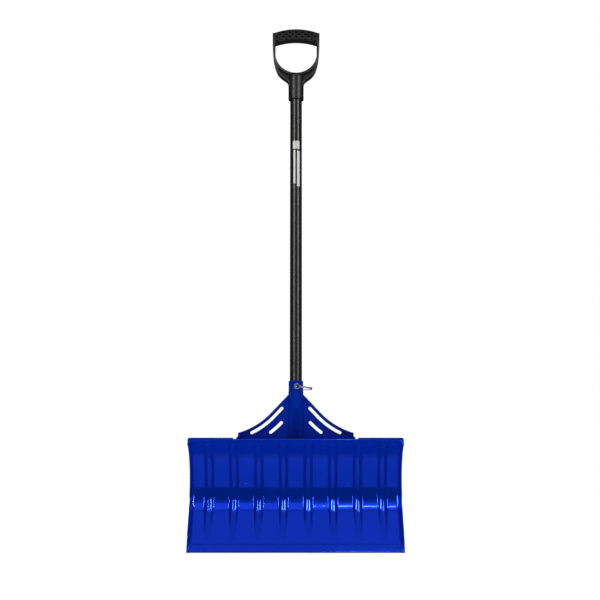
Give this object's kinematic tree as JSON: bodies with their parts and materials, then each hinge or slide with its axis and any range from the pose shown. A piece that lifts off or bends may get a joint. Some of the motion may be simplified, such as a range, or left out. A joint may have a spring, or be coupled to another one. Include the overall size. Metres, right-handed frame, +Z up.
{
  "type": "snow shovel",
  "caption": "Snow shovel with a wide ribbed plastic scoop, a slotted yoke, a tube shaft held by a wire-lock pin, and a D-grip.",
  "frame": {"origin": "middle of the cutting edge, on its flat lower face", "axes": "+Z up along the shaft, -Y the scooping side, +X to the right as seen from the scooping side"},
  "size_m": [0.546, 0.1382, 1.4095],
  "materials": {
    "blade_plastic": "glossy moulded plastic, royal blue",
    "yoke_plastic": "semi-gloss moulded plastic, royal blue",
    "rivet_paint": "rivet painted to match the blade",
    "zinc_steel": "bright zinc plating",
    "wire_steel": "bright spring wire",
    "shaft_coating": "gloss black powder coat on steel tube",
    "grip_plastic": "satin black moulded plastic"
  },
  "bodies": {
    "shovel": {"blade": "blade_plastic", "yoke": "yoke_plastic", "yoke_rivets": "rivet_paint", "rivet_washers": "zinc_steel", "shaft": "shaft_coating", "d_grip": "grip_plastic", "grip_screw": "zinc_steel"},
    "lock_pin": {"lock_pin": "zinc_steel"},
    "pin_bail": {"pin_bail": "wire_steel"}
  },
  "joints": [
    {"name": "lock_pin_turn", "type": "hinge", "parent": "shovel", "child": "lock_pin", "pos_m": [0, 0.09087, 0.419], "axis": [0, 1, 0], "range_deg": [-60, 32]},
    {"name": "bail_swing", "type": "hinge", "parent": "lock_pin", "child": "pin_bail", "pos_m": [0, 0.11686, 0.419], "axis": [0.1288, 0, 0.9917], "range_deg": [0, 180]}
  ]
}
